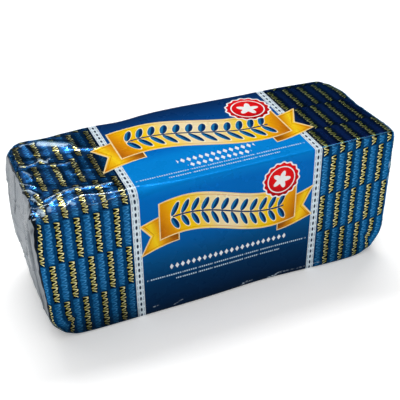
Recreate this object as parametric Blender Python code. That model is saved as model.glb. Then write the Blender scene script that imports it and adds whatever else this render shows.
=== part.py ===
"""A blue cheese loaf shut in printed foil: one oblong block lying on its long face.

+X runs along the loaf, -Y is the side with the best print and +Z is up.
The origin is the middle of the underside.  Every size is in metres.

A box is cut into a grid that is fine where its edges will be rounded.  Its corners are
then moved: the folded end flaps and the underside overlap are laid on, the edges are
rounded, and the soft swellings, dents and folds come last.
"""
import math

import bmesh
import bpy
import numpy as np

# Driving sizes of the loaf
LENGTH = 0.250
DEPTH = 0.0905
HEIGHT = 0.1000

# Radii of the rounded edges
LEFT_FOOT_RADIUS = 0.0205           # where each end rolls under to the floor
RIGHT_FOOT_RADIUS = 0.0230
END_TOP_RADIUS = 0.0055
FRONT_UPRIGHT_RADIUS = 0.0050
BACK_UPRIGHT_RADIUS = 0.0135
BACK_EDGE_RADIUS = 0.0038
FRONT_BOTTOM_RADIUS = 0.0020
FRONT_FOOT_RADIUS = 0.0035          # the front bottom edge where it reaches the ends
FRONT_TOP_RADIUS_SLACK = 0.014      # at the left end, where the foil hangs loose
FRONT_TOP_RADIUS_CRISP = 0.0016
SLACK_UNTIL = -0.105                # left of this X the front top edge is fully slack
CRISP_FROM = -0.020                 # right of this X it is crisp
SLACK_CORNER_RADIUS = 0.010         # rim and upright where they reach the slack corner
CORNER_REACH = 0.032                # unlike radii start to blend this far from an end
CORNER_BLEND = 0.022
RELAX_REACH = 0.009                 # the very tips of the corners are smoothed together
RELAX_PASSES = 4

# Foil folded flat against each end
FLAP_RELIEF = 0.0008                # how far each folded layer stands out
FLAP_STEP = 0.0006                  # width of the step down at a flap's edge
TONGUE_HALF_WIDTH = 0.022
FLAP_SLOPE = 1.25                   # fall over run of the slanting folds from the corners
UPPER_FREE_EDGE = 0.043             # height of the upper flap's free edge
LOWER_FREE_EDGE = 0.066             # height of the lower flap's edge, felt through the upper
LOWER_EDGE_STEP = 0.004
FREE_EDGE_SKEW = 0.05
FLAP_RISE = 0.012                   # a flap comes up to its full relief over this much fall

# The sheet's long overlap on the underside
SEAM_Y = -0.025
SEAM_RELIEF = 0.0005
SEAM_STEP = 0.0006
SEAM_FADE = 0.012                   # the overlap's lower layer rises back over this width

# Bulges of a soft block: how far the edges stay behind the middle of each face
SIDE_BULGE = 0.0004
END_BULGE = 0.0004
TOP_BULGE = 0.0003

# Soft swellings and dents: centre, reach and push
SWELLINGS = (
    ((-0.124, 0.028, 0.058), 0.028, (-0.0032, 0.0, 0.0)),       # left end, cheese pressing out
    ((-0.124, -0.045, 0.086), 0.008, (0.0012, 0.0010, 0.0)),    # pinch under the slack corner
    ((-0.124, -0.045, 0.089), 0.015, (-0.0036, 0.0, 0.0)),      # the full front-left upright
    ((-0.124, -0.045, 0.060), 0.026, (-0.0020, 0.0, 0.0)),
    ((-0.120, 0.045, 0.006), 0.020, (0.0028, 0.0, 0.0)),        # worn corner at its foot
    ((-0.124, 0.022, 0.030), 0.020, (0.0013, 0.0, 0.0)),        # and slack foil beside it
    ((0.124, 0.002, 0.100), 0.022, (-0.0020, 0.0, -0.0005)),    # knocks in the right end's rim
    ((0.124, 0.040, 0.100), 0.014, (-0.0030, 0.0, -0.0008)),
    ((-0.105, 0.045, 0.100), 0.022, (0.0, 0.0, -0.0014)),       # the rest: an uneven back rim
    ((-0.043, 0.045, 0.100), 0.014, (0.0, 0.0, -0.0012)),
    ((-0.008, 0.045, 0.100), 0.038, (0.0, 0.0, 0.0011)),
    ((0.108, 0.045, 0.100), 0.022, (0.0, 0.0, -0.0010)),
    ((0.025, -0.045, 0.000), 0.030, (0.0, 0.0015, 0.0)),        # and a wavy front foot
    ((0.092, -0.045, 0.000), 0.028, (0.0, -0.0015, 0.0)),
)

# Broad folds of the slack foil on top: start and end in plan, height and half width
TOP_FOLDS = (
    ((-0.101, 0.040), (-0.086, 0.026), 0.0013, 0.008),
    ((-0.118, 0.010), (-0.104, 0.013), 0.0010, 0.006),
    ((-0.112, -0.029), (-0.097, -0.024), 0.0012, 0.006),
    ((-0.097, -0.024), (-0.080, -0.028), 0.0012, 0.006),
    ((-0.084, 0.017), (-0.070, 0.016), 0.0008, 0.005),
    ((-0.116, -0.038), (-0.106, -0.031), -0.0010, 0.005),
)

# Cuts of the box
SPACING = 0.0155
CRUMPLED_SPACING = 0.0050           # on top, left of CRUMPLED_TO
CRUMPLED_TO = -0.058
SPACING_ACROSS = 0.0062
CLOSEST_CUTS = 0.0012

HALF_SIZES = (LENGTH / 2 - 2 * FLAP_RELIEF, DEPTH / 2, HEIGHT / 2)
END_X = HALF_SIZES[0]
SIDE_Y = HALF_SIZES[1]


def arc_cuts(edge, inward, radius, steps):
    """Cut places that end up evenly spaced round an edge of this radius."""
    angles = [math.radians(45.0 * step / steps) for step in range(steps)]
    return [edge + inward * radius * (1.0 - math.tan(angle)) for angle in angles]


def spread_cuts(low, high, wanted, spacing):
    """The wanted cuts, thinned where they crowd, with even cuts filling the wide gaps."""
    cuts = [low]
    for place in sorted(wanted) + [high]:
        start = cuts[-1]
        if place - start < CLOSEST_CUTS or 0.0 < high - place < CLOSEST_CUTS:
            continue
        parts = math.ceil((place - start) / spacing(0.5 * (place + start)))
        cuts += [start + (place - start) * part / parts for part in range(1, parts + 1)]
    return cuts[1:-1]


def x_cuts():
    wanted = [CRUMPLED_TO]
    for side in (-1.0, 1.0):
        wanted += arc_cuts(side * END_X, -side, RIGHT_FOOT_RADIUS, steps=5)
        wanted += arc_cuts(side * END_X, -side, BACK_UPRIGHT_RADIUS, steps=3)
        wanted += arc_cuts(side * END_X, -side, FRONT_UPRIGHT_RADIUS, steps=2)
    return spread_cuts(-END_X, END_X, wanted,
                       lambda x: CRUMPLED_SPACING if x < CRUMPLED_TO else SPACING)


def y_cuts():
    wanted = arc_cuts(-SIDE_Y, 1.0, FRONT_TOP_RADIUS_SLACK, steps=4)
    wanted += arc_cuts(-SIDE_Y, 1.0, FRONT_UPRIGHT_RADIUS, steps=2)
    wanted += arc_cuts(SIDE_Y, -1.0, BACK_UPRIGHT_RADIUS, steps=4)
    wanted += arc_cuts(SIDE_Y, -1.0, BACK_EDGE_RADIUS, steps=2)
    return spread_cuts(-SIDE_Y, SIDE_Y, wanted, lambda y: SPACING_ACROSS)


def z_cuts():
    wanted = arc_cuts(0.0, 1.0, RIGHT_FOOT_RADIUS, steps=5)
    wanted += arc_cuts(0.0, 1.0, FRONT_BOTTOM_RADIUS, steps=1)
    wanted += arc_cuts(HEIGHT, -1.0, FRONT_TOP_RADIUS_SLACK, steps=4)
    wanted += arc_cuts(HEIGHT, -1.0, END_TOP_RADIUS, steps=2)
    return spread_cuts(0.0, HEIGHT, wanted, lambda z: SPACING)


def cut(bm, place, normal, faces=None):
    """Cut the mesh, or only some of its faces, along a plane."""
    faces = bm.faces[:] if faces is None else faces
    edges = {edge for face in faces for edge in face.edges}
    verts = {vert for face in faces for vert in face.verts}
    bmesh.ops.bisect_plane(bm, geom=[*verts, *edges, *faces], dist=0.00005,
                           plane_co=place, plane_no=normal)


def faces_in_plane(bm, axis, value):
    """The faces that lie wholly in one plane across an axis."""
    return [face for face in bm.faces
            if all(abs(vert.co[axis] - value) < 1e-6 for vert in face.verts)]


def inner_end_faces(bm, end_x):
    """The faces of one end, but for those at its corners, where the flaps lie level."""
    level = 0.5 * FLAP_RISE
    inner = []
    for face in faces_in_plane(bm, 0, end_x):
        middle = face.calc_center_median()
        if (SIDE_Y - abs(middle.y) > level or level < middle.z < HEIGHT - level):
            inner.append(face)
    return inner


def score_flap_edges(bm, end_x):
    """Cut one end along both sides of every flap edge, so that the steps come out crisp."""
    for shift in (0.0, FLAP_STEP):
        corner_y = SIDE_Y - shift * math.hypot(1.0, FLAP_SLOPE) / FLAP_SLOPE
        lines = [((end_x, 0.0, UPPER_FREE_EDGE + shift), (0.0, -FREE_EDGE_SKEW, 1.0))]
        for side in (-1.0, 1.0):
            lines.append(((end_x, side * (TONGUE_HALF_WIDTH - shift), 0.0), (0.0, 1.0, 0.0)))
            lines.append(((end_x, side * corner_y, HEIGHT), (0.0, side * FLAP_SLOPE, -1.0)))
            lines.append(((end_x, side * corner_y, 0.0), (0.0, side * FLAP_SLOPE, 1.0)))
        for place, normal in lines:
            cut(bm, place, normal, inner_end_faces(bm, end_x))


def gridded_box():
    """The sharp-edged box, cut wherever its form needs corners to move."""
    bm = bmesh.new()
    bmesh.ops.create_cube(bm, size=1.0)
    bmesh.ops.scale(bm, verts=bm.verts, vec=(2 * END_X, DEPTH, HEIGHT))
    bmesh.ops.translate(bm, verts=bm.verts, vec=(0.0, 0.0, HEIGHT / 2))
    for axis, places in enumerate((x_cuts(), y_cuts(), z_cuts())):
        normal = [float(axis == index) for index in range(3)]
        for place in places:
            cut(bm, [place * part for part in normal], normal)
    for end_x in (-END_X, END_X):
        score_flap_edges(bm, end_x)
    for seam_y in (SEAM_Y, SEAM_Y - SEAM_STEP):
        cut(bm, (0.0, seam_y, 0.0), (0.0, 1.0, 0.0), faces_in_plane(bm, 2, 0.0))
    return bm


def smooth(t):
    """0 below 0, 1 above 1 and an S-curve between."""
    t = np.clip(t, 0.0, 1.0)
    return t * t * (3.0 - 2.0 * t)


def flap_relief(y, z):
    """How far the folded foil stands out from the inner layer of an end.

    Each flap starts at full width from its own edge of the end, narrows along the slanting
    folds from the two corners, and goes on as a straight tongue to its free edge.
    """
    in_tongue = TONGUE_HALF_WIDTH - np.abs(y)
    slant = math.hypot(1.0, FLAP_SLOPE)

    def flap(fall, beyond_free_edge, free_edge_step):
        in_corner_folds = (FLAP_SLOPE * (SIDE_Y - np.abs(y)) - fall) / slant
        inside = np.maximum(in_tongue, in_corner_folds)
        edges = np.minimum(np.clip(inside / FLAP_STEP, 0.0, 1.0),
                           np.clip(beyond_free_edge / free_edge_step, 0.0, 1.0))
        return FLAP_RELIEF * edges * smooth(fall / FLAP_RISE)

    upper = flap(HEIGHT - z, z - FREE_EDGE_SKEW * y - UPPER_FREE_EDGE, FLAP_STEP)
    lower = flap(z, LOWER_FREE_EDGE - z, LOWER_EDGE_STEP)
    return upper + lower


def seam_recess(y):
    """How far the underside's lower layer stays above the floor, beside the overlap."""
    behind_edge = np.clip((SEAM_Y - y) / SEAM_STEP, 0.0, 1.0)
    return SEAM_RELIEF * behind_edge * smooth((y + SIDE_Y) / SEAM_FADE)


def round_edge(points, axes, sides, radius):
    """Bend the square zone along one edge of the box onto a quarter disc.

    In the zone the distance from the disc's centre, measured along the longer of the two
    axes, becomes the true distance, so the two flat sides of the zone become the arc.
    """
    first, second = axes
    first_centre = HALF_SIZES[first] - radius
    second_centre = HALF_SIZES[second] - radius
    a = sides[0] * points[first] - first_centre
    b = sides[1] * points[second] - second_centre
    in_zone = (a > 0.0) & (b > 0.0)
    squeeze = np.maximum(a, b) / np.maximum(np.hypot(a, b), 1e-9)
    points[first] = np.where(in_zone, sides[0] * (first_centre + a * squeeze), points[first])
    points[second] = np.where(in_zone, sides[1] * (second_centre + b * squeeze),
                              points[second])


def blend(low, high, t):
    return low + (high - low) * smooth(t)


def round_all_edges(points):
    """Round the long edges and the top rims of the ends, then the uprights, then the feet.

    Where edges of unlike radii meet in a corner, the smaller radius grows towards the other.
    """
    x, y, z = points.copy()
    slack = (CRISP_FROM - x) / (CRISP_FROM - SLACK_UNTIL)
    front_top = blend(FRONT_TOP_RADIUS_CRISP, FRONT_TOP_RADIUS_SLACK, slack)
    near_end = (np.abs(x) - END_X + CORNER_REACH) / CORNER_BLEND
    front_bottom = blend(FRONT_BOTTOM_RADIUS, FRONT_FOOT_RADIUS, near_end)
    back_bottom = blend(BACK_EDGE_RADIUS, BACK_UPRIGHT_RADIUS, near_end)
    near_front = (CORNER_REACH - SIDE_Y - y) / CORNER_BLEND
    near_top = (z - HALF_SIZES[2] + CORNER_REACH) / CORNER_BLEND
    left_rim = blend(END_TOP_RADIUS, SLACK_CORNER_RADIUS, near_front)
    left_upright = blend(FRONT_UPRIGHT_RADIUS, SLACK_CORNER_RADIUS, near_top)

    round_edge(points, (1, 2), (-1, 1), front_top)
    round_edge(points, (1, 2), (1, 1), BACK_EDGE_RADIUS)
    round_edge(points, (1, 2), (-1, -1), front_bottom)
    round_edge(points, (1, 2), (1, -1), back_bottom)
    round_edge(points, (0, 2), (-1, 1), left_rim)
    round_edge(points, (0, 2), (1, 1), END_TOP_RADIUS)
    round_edge(points, (0, 1), (-1, -1), left_upright)
    round_edge(points, (0, 1), (1, -1), FRONT_UPRIGHT_RADIUS)
    for end, foot_radius in ((-1, LEFT_FOOT_RADIUS), (1, RIGHT_FOOT_RADIUS)):
        round_edge(points, (0, 1), (end, 1), BACK_UPRIGHT_RADIUS)
        round_edge(points, (0, 2), (end, -1), foot_radius)


def bulge(points):
    """Hold the edges of the ends, the sides and the top back behind their middles."""
    x, y, z = (points[axis] / HALF_SIZES[axis] for axis in range(3))
    points[0] -= np.sign(x) * END_BULGE * x * x * (0.6 * z * z + 0.4 * y * y)
    points[1] -= np.sign(y) * SIDE_BULGE * y * y * z * z
    points[2] -= TOP_BULGE * smooth(2.0 * z - 1.0) * (0.5 * y * y + 0.5 * x ** 4)


def push_near(points, centre, reach, push):
    """Push the points near a centre, fading with the square of the distance to it."""
    offsets = points - np.reshape(centre, (3, 1))
    strength = np.exp(-np.sum(offsets ** 2, axis=0) / reach ** 2)
    points += np.reshape(push, (3, 1)) * strength


def fold(points, start, stop, height, half_width):
    """Raise a crest along a line in plan, on the top only, that dies out at both ends."""
    run = np.subtract(stop, start)
    along = ((points[0] - start[0]) * run[0] + (points[1] - start[1]) * run[1]) / (run @ run)
    nearest = np.clip(along, 0.0, 1.0)
    away = np.hypot(points[0] - start[0] - nearest * run[0],
                    points[1] - start[1] - nearest * run[1])
    on_top = smooth((points[2] - 0.8 * HEIGHT) / (0.1 * HEIGHT))
    points[2] += height * on_top * np.clip(1.0 - away / half_width, 0.0, 1.0) ** 1.5


def formed(points):
    """Turn points on the sharp-edged box into points on the wrapped block."""
    x, y, z = points
    on_end = np.abs(x) > END_X - 1e-6
    x = x + np.where(on_end, np.sign(x) * flap_relief(y, z), 0.0)
    z = z + np.where(z < 1e-6, seam_recess(y), 0.0)
    points = np.array((x, y, z - HEIGHT / 2))
    round_all_edges(points)
    bulge(points)
    points[2] += HEIGHT / 2
    for centre, reach, push in SWELLINGS:
        push_near(points, centre, reach, push)
    for start, stop, height, half_width in TOP_FOLDS:
        fold(points, start, stop, height, half_width)
    points[0] -= 0.5 * (points[0].min() + points[0].max())
    points[1] -= 0.5 * (points[1].min() + points[1].max())
    return points


def corner_verts(bm):
    """The points of the sharp-edged box that lie close to one of its eight corners."""
    return [vert for vert in bm.verts
            if END_X - abs(vert.co.x) < RELAX_REACH and SIDE_Y - abs(vert.co.y) < RELAX_REACH
            and HEIGHT / 2 - abs(vert.co.z - HEIGHT / 2) < RELAX_REACH]


def wrapped_block():
    bm = gridded_box()
    tips = corner_verts(bm)
    corners = formed(np.array([vert.co for vert in bm.verts], dtype=float).T)
    for vert, corner in zip(bm.verts, corners.T):
        vert.co = corner
    for _ in range(RELAX_PASSES):
        bmesh.ops.smooth_vert(bm, verts=tips, factor=0.5,
                              use_axis_x=True, use_axis_y=True, use_axis_z=True)
    underside = [face for face in bm.faces
                 if all(abs(vert.co.z) < 1e-6 for vert in face.verts)]
    bmesh.ops.dissolve_faces(bm, faces=underside, use_verts=True)
    bmesh.ops.triangulate(bm, faces=bm.faces)
    mesh = bpy.data.meshes.new("foil_wrapped_block")
    bm.to_mesh(mesh)
    bm.free()
    mesh.shade_smooth()
    mesh.set_sharp_from_angle(angle=math.radians(35.0))
    return mesh


def foil_material():
    """Deep blue print on bright foil."""
    material = bpy.data.materials.new("printed_foil")
    material.use_nodes = True
    shader = material.node_tree.nodes["Principled BSDF"]
    shader.inputs["Base Color"].default_value = (0.010, 0.075, 0.200, 1.0)
    shader.inputs["Metallic"].default_value = 0.55
    shader.inputs["Roughness"].default_value = 0.32
    return material


def build():
    for thing in list(bpy.data.objects):
        bpy.data.objects.remove(thing, do_unlink=True)
    mesh = wrapped_block()
    mesh.materials.append(foil_material())
    block = bpy.data.objects.new("foil_wrapped_block", mesh)
    bpy.context.scene.collection.objects.link(block)


build()
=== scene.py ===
"""Looks of the foil-wrapped block of blue cheese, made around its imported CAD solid.

The block lies on its underside with +X along it and its better print on the -Y side.
Sizes are in metres, but the print is laid out in millimetres on the unrolled sheet:
ALONG runs with +X from the block's middle, and DOWN is the way round the girth from the
top front edge, positive down the front and negative over the top towards the back.
"""
import math

import bpy
import numpy as np
from mathutils import Matrix, Vector

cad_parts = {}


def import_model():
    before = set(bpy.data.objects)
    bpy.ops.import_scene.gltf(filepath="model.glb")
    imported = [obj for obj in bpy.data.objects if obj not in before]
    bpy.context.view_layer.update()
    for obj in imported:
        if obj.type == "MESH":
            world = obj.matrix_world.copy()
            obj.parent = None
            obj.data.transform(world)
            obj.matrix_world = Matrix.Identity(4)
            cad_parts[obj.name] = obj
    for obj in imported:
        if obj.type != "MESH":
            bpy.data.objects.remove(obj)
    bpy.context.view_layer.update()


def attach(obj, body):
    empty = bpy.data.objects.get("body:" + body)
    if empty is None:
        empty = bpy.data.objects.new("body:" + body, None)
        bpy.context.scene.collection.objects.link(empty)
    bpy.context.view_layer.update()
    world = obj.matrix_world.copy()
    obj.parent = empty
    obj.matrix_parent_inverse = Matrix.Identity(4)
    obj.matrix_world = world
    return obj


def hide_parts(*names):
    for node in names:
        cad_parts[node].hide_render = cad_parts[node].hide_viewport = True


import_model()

MM = 0.001

# Sizes of the block, as in the CAD solid
LENGTH, DEPTH, HEIGHT = 0.250, 0.0905, 0.1000
END_X = LENGTH / 2 - 0.0016
END_MM = END_X * 1000.0
SIDE_Y = DEPTH / 2
HALF_SIZES = (END_X, SIDE_Y, HEIGHT / 2)
LEFT_FOOT_RADIUS, RIGHT_FOOT_RADIUS = 0.0205, 0.0230
END_TOP_RADIUS = 0.0055
FRONT_UPRIGHT_RADIUS, BACK_UPRIGHT_RADIUS = 0.0050, 0.0135
BACK_EDGE_RADIUS = 0.0038
FRONT_BOTTOM_RADIUS, FRONT_FOOT_RADIUS = 0.0020, 0.0035
FRONT_TOP_RADIUS_SLACK, FRONT_TOP_RADIUS_CRISP = 0.014, 0.0016
SLACK_UNTIL, CRISP_FROM = -0.105, -0.020
SLACK_CORNER_RADIUS = 0.010
CORNER_REACH, CORNER_BLEND = 0.032, 0.022
SIDE_BULGE, END_BULGE, TOP_BULGE = 0.0004, 0.0004, 0.0003

# The sheet's overlap on the underside
SEAM_Y, SEAM_RELIEF, SEAM_STEP, SEAM_FADE = -0.025, 0.0005, 0.0006, 0.012

# The eight corners of the box, where its rounding squeezes the mesh
TIP_REACH, TIP_FADE = 0.004, 0.005

# Flaps folded over the ends
TONGUE_HALF_WIDTH = 0.022
FLAP_SLOPE = 1.25
UPPER_FREE_EDGE, LOWER_FREE_EDGE = 0.043, 0.066
FREE_EDGE_SKEW = 0.05
FLAP_INSET, TONGUE_BEND = 0.0006, 0.0015
FLAP_SINK, FOIL = 0.00022, 0.00012
UPPER_RISE, LOWER_RISE, FOLD_RISE = 0.018, 0.010, 0.0030
FLAP_ROWS = 97

# Swellings of the form: centre, reach and push. The first ones fill the front-left upright.
FULL_UPRIGHT = (
    ((-0.124, -0.045, 0.089), 0.015, (-0.0036, 0.0, 0.0)),
    ((-0.124, -0.045, 0.060), 0.026, (-0.0020, 0.0, 0.0)),
)
SWELLINGS = (
    ((-0.124, 0.028, 0.058), 0.028, (-0.0032, 0.0, 0.0)),
    ((-0.124, -0.045, 0.086), 0.008, (0.0012, 0.0010, 0.0)),
    *FULL_UPRIGHT,
    ((-0.120, 0.045, 0.006), 0.020, (0.0028, 0.0, 0.0)),
    ((-0.124, 0.022, 0.030), 0.020, (0.0013, 0.0, 0.0)),
    ((0.124, 0.002, 0.100), 0.022, (-0.0020, 0.0, -0.0005)),
    ((0.124, 0.040, 0.100), 0.014, (-0.0030, 0.0, -0.0008)),
    ((-0.105, 0.045, 0.100), 0.022, (0.0, 0.0, -0.0014)),
    ((-0.043, 0.045, 0.100), 0.014, (0.0, 0.0, -0.0012)),
    ((-0.008, 0.045, 0.100), 0.038, (0.0, 0.0, 0.0011)),
    ((0.108, 0.045, 0.100), 0.022, (0.0, 0.0, -0.0010)),
    ((0.025, -0.045, 0.000), 0.030, (0.0, 0.0015, 0.0)),
    ((0.092, -0.045, 0.000), 0.028, (0.0, -0.0015, 0.0)),
)
CENTRING = (0.00140, 0.0005, 0.0)   # brings the middle of the whole block to the origin

# Creases on the unrolled sheet, in millimetres: points (along, down), height, half width and
# how far the ink is worn off along them, with a painted highlight, from 0 to 1
CREASES = (
    # the long diagonal ridge over the loose left end
    (((-107, -88), (-101, -82), (-91, -73), (-84, -67)), 1.75, 8.5, 0.0),
    (((-84, -68), (-80, -62.5), (-73, -59), (-66, -58)), 0.75, 3.2, 0.55),
    (((-97, -79), (-91, -72), (-85, -68)), 0.15, 1.6, 0.75),
    (((-112, -88), (-109, -78), (-108, -68)), 0.55, 4.0, 0.0),
    (((-121, -84), (-118.5, -76), (-119, -66)), 0.55, 2.6, 0.35),
    # short creases on top
    (((-119, -56), (-114.5, -55), (-110, -56), (-106, -58.5)), 0.60, 3.0, 0.75),
    (((-106, -61), (-103, -55.5), (-99, -59)), 0.45, 2.0, 0.95),
    (((-102, -51), (-93, -48.5), (-88, -49)), 0.45, 2.6, 0.60),
    (((-118.5, -50), (-116, -44), (-115.5, -39)), 0.40, 2.0, 0.55),
    (((-113, -41), (-110, -38)), 0.30, 1.8, 0.45),
    (((-91, -35), (-85, -34)), 0.30, 1.8, 0.45),
    (((-80, -36), (-74, -34.5)), 0.25, 1.6, 0.30),
    (((-100, -45), (-97, -38), (-98, -30)), 0.22, 2.4, 0.0),
    (((-86, -58), (-84, -48), (-88, -40)), 0.22, 2.4, 0.0),
    # gathers at the left rim
    (((-125, -41), (-120, -34), (-116, -30)), 0.80, 2.2, 0.65),
    (((-125, -32), (-119.5, -27.5), (-116, -21)), 0.80, 2.2, 0.75),
    (((-125, -23), (-119, -18.5), (-117, -12)), 0.75, 2.2, 0.70),
    (((-124, -13), (-119, -9), (-114, -8.5)), 0.85, 2.8, 0.65),
    (((-124, -2), (-117, 1.5), (-112, 6)), 0.60, 2.4, 0.30),
    (((-124, -55), (-119, -50)), 0.45, 2.0, 0.40),
    (((-124, -68), (-118, -63)), 0.45, 2.0, 0.40),
    (((-124, -77), (-118, -73)), 0.35, 2.0, 0.30),
    # where the foil sags over the front edge
    (((-113, -14), (-106, -17), (-99, -18), (-91, -17.6), (-81, -15), (-72, -15.5)),
     0.75, 3.6, 0.80),
    (((-117, -6), (-110, -11), (-103, -16)), 0.50, 2.4, 0.75),
    (((-104, -3), (-99, -8), (-93, -9.5), (-86, -8), (-79, -6.3), (-70, -5.5), (-58, -5.2)),
     0.55, 2.6, 0.58),
    (((-93, -4), (-88.5, 1), (-84, 1.2), (-76, -0.8), (-64, -0.6)), 0.45, 2.4, 0.50),
    (((-88, -8), (-87, -1)), 0.25, 1.8, 0.45),
    (((-78, -14), (-71, -11)), 0.30, 2.2, 0.25),
    (((-58, -5.2), (-50, -6.5), (-44, -9)), 0.12, 1.8, 0.25),
    (((-124.5, -7), (-121, -4), (-118, -4.5), (-115, -2)), 0.50, 2.2, 0.95),
    (((-124, 3), (-121.5, 0), (-119, 1)), 0.45, 2.0, 0.90),
    (((-123, -10), (-120.5, -6), (-120, 0)), 0.30, 1.6, 0.80),
    (((118, -4), (122, -2.5), (124.5, 1)), 0.30, 1.6, 0.80),
    (((121.5, -15), (122.6, -10), (123.2, -6)), 0.25, 1.4, 0.95),
    # the groove under the sagging lip
    (((-120, 9), (-108, 7.4), (-90, 6.6), (-74, 5.8), (-60, 4.5)), -0.90, 2.6, 0.0),
    # faint ones on the tight foil
    (((38, 4), (37, 28), (39, 55)), 0.10, 1.6, 0.0),
    (((-20, 6), (-22, 30)), 0.06, 2.0, 0.0),
    (((64, -4), (74, 3)), 0.12, 1.6, 0.2),
    # chips and a fold along the front foot, the chips' wear partly a painted glint
    (((10, 97.2), (14, 96.4), (18, 96.2)), 0.20, 1.4, 0.85),
    (((31, 98.4), (35, 97.8), (41, 95.8)), 0.25, 1.6, 0.90),
    (((41, 95.8), (52, 96.4), (63, 95.4), (72, 95.2)), 0.30, 1.8, 0.52),
    (((-55, 93.8), (-51, 93.2)), 0.12, 1.2, 0.55),
    (((-40, 96.8), (-36, 94.8), (-33, 94.0)), 0.15, 1.2, 0.55),
)
# the wear to a crease's sides carries a painted highlight as well
LIP_HEIGHT, WEAR_AND_GLINT_REACH = 1.3, 1.3   # of the sagging lip, and of wear to a crease's sides

# Patches where the ink is rubbed thin, with a pale sheen painted there: points (along, down),
# half width and strength
RUBBED_AND_SHEEN_PATCHES = (
    (((-100, -79.5), (-95, -76), (-90.5, -72.5), (-86, -69.5)), 3.2, 0.95),
    (((-114.5, -83.5), (-109, -83), (-104, -82)), 0.9, 0.80),
    (((-112, -6.5), (-112, -3.5)), 1.3, 0.45),
    (((-101, -7), (-98.5, -4)), 1.2, 0.50),
    (((-118.5, -6.5), (-116.5, -4), (-116, -1)), 1.9, 0.95),
    (((-121, -29), (-119, -25)), 1.3, 0.80),
    (((-120.5, -22), (-119.5, -17)), 1.1, 0.80),
    (((-101, -19.3), (-96, -19.3), (-92, -18.9)), 0.9, 0.85),
    (((-118, -49), (-114.8, -43)), 0.8, 0.70),
    (((-105, -59), (-102, -55)), 1.2, 0.85),
    (((119.4, -15), (120.4, -10), (121.0, -6)), 0.8, 0.60),
    (((120.4, 24.5), (120.6, 28.5)), 0.9, 0.95),
    (((120.3, 37.5), (120.4, 39.5)), 0.7, 0.80),
)

# The mottling of the wear and of its painted sheen is laid out on the wrap's box brought to
# unit size: scale and shift
MOTTLE_STRETCH, MOTTLE_SHIFT = (3.98366, 10.87707, 9.77429), (0.49893, 0.5016, 0.0)

# Folds in the foil over the ends, in millimetres: points (y, z), height and half width
END_FOLDS = (
    (((-25, 78), (-21, 56), (-24, 45), (-30, 39), (-38, 35)), -0.90, 2.6),
    (((-40, 88), (-31, 74), (-29, 60), (-33, 44)), -0.60, 2.0),
    (((-12, 97), (-15, 84), (-9, 70), (-13, 58)), 0.50, 1.8),
    (((8, 96), (5, 82), (12, 66)), -0.55, 1.8),
    (((-17, 84), (-3, 76), (10, 78), (22, 70)), 0.45, 1.6),
    (((-19, 60), (-6, 63), (9, 57), (20, 61)), 0.35, 1.5),
    (((-8, 52), (-3, 36), (-10, 22), (-7, 8)), -0.50, 1.8),
    (((13, 50), (10, 34), (17, 20)), 0.45, 1.6),
    (((-20, 40), (-9, 31), (3, 34), (18, 27)), 0.40, 1.5),
    (((-36, 22), (-27, 16), (-22, 8)), 0.50, 1.8),
    (((-39, 58), (-34, 50), (-37, 36), (-34, 26)), 0.55, 1.6),
    (((37, 86), (32, 70), (35, 52), (31, 34), (36, 20)), -0.60, 2.0),
    (((27, 90), (30, 76), (26, 62), (28, 46)), 0.50, 1.8),
)
RIGHT_FOLDS_RISE = 3.0


# --------------------------------------------------------------- form of the block
def smooth(t):
    """0 below 0, 1 above 1 and an S-curve between."""
    t = np.clip(t, 0.0, 1.0)
    return t * t * (3.0 - 2.0 * t)


def blend(low, high, t):
    """From low to high along the S-curve."""
    return low + (high - low) * smooth(t)


def round_edge(points, axes, sides, radius):
    """Bend the square zone along one edge of the box onto a quarter disc.

    The distance from the disc's centre, measured along the longer of the two axes, becomes
    the true distance, so the two flat sides of the zone become the arc.
    """
    first, second = axes
    first_centre = HALF_SIZES[first] - radius
    second_centre = HALF_SIZES[second] - radius
    a = sides[0] * points[first] - first_centre
    b = sides[1] * points[second] - second_centre
    in_zone = (a > 0.0) & (b > 0.0)
    squeeze = np.maximum(a, b) / np.maximum(np.hypot(a, b), 1e-9)
    points[first] = np.where(in_zone, sides[0] * (first_centre + a * squeeze), points[first])
    points[second] = np.where(in_zone, sides[1] * (second_centre + b * squeeze),
                              points[second])


def round_all_edges(points):
    """Long edges and top rims first, then uprights, then feet, with radii that blend."""
    x, y, z = points.copy()
    slack = (CRISP_FROM - x) / (CRISP_FROM - SLACK_UNTIL)
    front_top = blend(FRONT_TOP_RADIUS_CRISP, FRONT_TOP_RADIUS_SLACK, slack)
    near_end = (np.abs(x) - END_X + CORNER_REACH) / CORNER_BLEND
    front_bottom = blend(FRONT_BOTTOM_RADIUS, FRONT_FOOT_RADIUS, near_end)
    back_bottom = blend(BACK_EDGE_RADIUS, BACK_UPRIGHT_RADIUS, near_end)
    near_front = (CORNER_REACH - SIDE_Y - y) / CORNER_BLEND
    near_top = (z - HALF_SIZES[2] + CORNER_REACH) / CORNER_BLEND
    left_rim = blend(END_TOP_RADIUS, SLACK_CORNER_RADIUS, near_front)
    left_upright = blend(FRONT_UPRIGHT_RADIUS, SLACK_CORNER_RADIUS, near_top)
    round_edge(points, (1, 2), (-1, 1), front_top)
    round_edge(points, (1, 2), (1, 1), BACK_EDGE_RADIUS)
    round_edge(points, (1, 2), (-1, -1), front_bottom)
    round_edge(points, (1, 2), (1, -1), back_bottom)
    round_edge(points, (0, 2), (-1, 1), left_rim)
    round_edge(points, (0, 2), (1, 1), END_TOP_RADIUS)
    round_edge(points, (0, 1), (-1, -1), left_upright)
    round_edge(points, (0, 1), (1, -1), FRONT_UPRIGHT_RADIUS)
    for end, foot_radius in ((-1, LEFT_FOOT_RADIUS), (1, RIGHT_FOOT_RADIUS)):
        round_edge(points, (0, 1), (end, 1), BACK_UPRIGHT_RADIUS)
        round_edge(points, (0, 2), (end, -1), foot_radius)


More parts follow.
